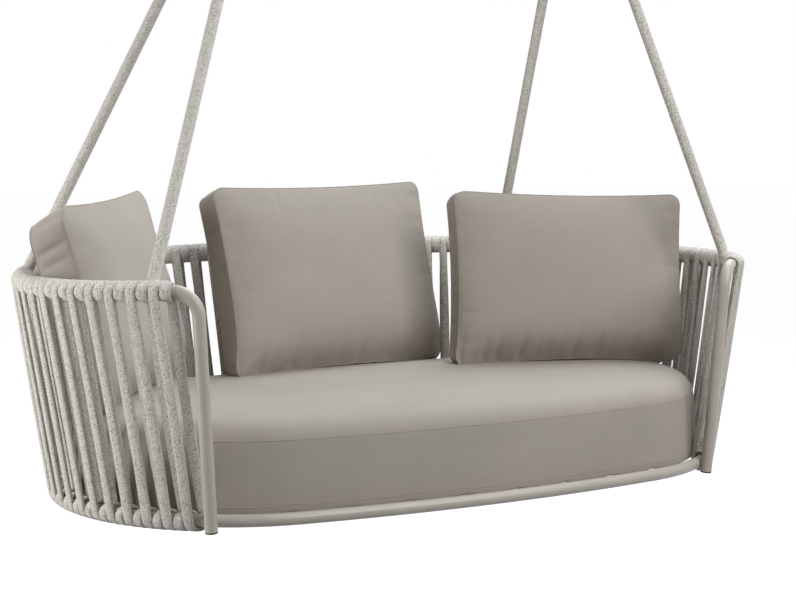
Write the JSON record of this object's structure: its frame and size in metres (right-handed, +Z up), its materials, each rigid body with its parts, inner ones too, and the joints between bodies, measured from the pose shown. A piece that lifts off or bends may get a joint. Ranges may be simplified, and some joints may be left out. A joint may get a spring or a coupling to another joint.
{
  "type": "swing sofa",
  "caption": "Hanging oval sofa: rope-woven tube frame, thick seat cushion and loose back cushions, swinging on ropes from ceiling hangers.",
  "frame": {"origin": "centre of the four ceiling screw holes, on the top faces of the two hanger plates", "axes": "+X along the sofa to its right end as seen from the front, -Y towards the sitter's front, +Z up"},
  "size_m": [2.0006, 1.0135, 1.8739],
  "materials": {
    "cushion_fabric": "matt woven canvas",
    "rope": "braided outdoor rope",
    "frame_paint": "satin powder coat",
    "cap_plastic": "matt",
    "bush_plastic": "matt",
    "hanger_steel": "satin stainless"
  },
  "bodies": {
    "hanger": {"left_hanger_bolt": "hanger_steel", "left_hanger_nut": "hanger_steel", "left_hanger_plate": "hanger_steel", "left_hanger_washers": "hanger_steel", "right_hanger_bolt": "hanger_steel", "right_hanger_nut": "hanger_steel", "right_hanger_plate": "hanger_steel", "right_hanger_washers": "hanger_steel"},
    "sofa": {"back_base_wraps": "rope", "back_rail_wraps": "rope", "back_strands": "rope", "base_ring": "frame_paint", "centre_back_cushion": "cushion_fabric", "deck_cross_tubes": "frame_paint", "deck_slats": "frame_paint", "left_base_wraps": "rope", "left_front_lashing": "rope", "left_front_rope": "rope", "left_front_terminal": "hanger_steel", "left_hanging_ring": "hanger_steel", "left_post_cap": "cap_plastic", "left_rail_wraps": "rope", "left_rear_lashing": "rope", "left_rear_rope": "rope", "left_rear_terminal": "hanger_steel", "left_side_cushion": "cushion_fabric", "left_strands": "rope", "left_swing_bush": "bush_plastic", "left_swing_lug": "hanger_steel", "right_back_cushion": "cushion_fabric", "right_base_wraps": "rope", "right_front_lashing": "rope", "right_front_rope": "rope", "right_front_terminal": "hanger_steel", "right_hanging_ring": "hanger_steel", "right_post_cap": "cap_plastic", "right_rail_wraps": "rope", "right_rear_lashing": "rope", "right_rear_rope": "rope", "right_rear_terminal": "hanger_steel", "right_strands": "rope", "right_swing_bush": "bush_plastic", "right_swing_lug": "hanger_steel", "seat_cushion": "cushion_fabric", "top_rail": "frame_paint"}
  },
  "joints": [
    {"name": "swing", "type": "hinge", "parent": "hanger", "child": "sofa", "pos_m": [0, 0, -0.05], "axis": [1, 0, 0], "range_deg": [-20, 20]}
  ]
}
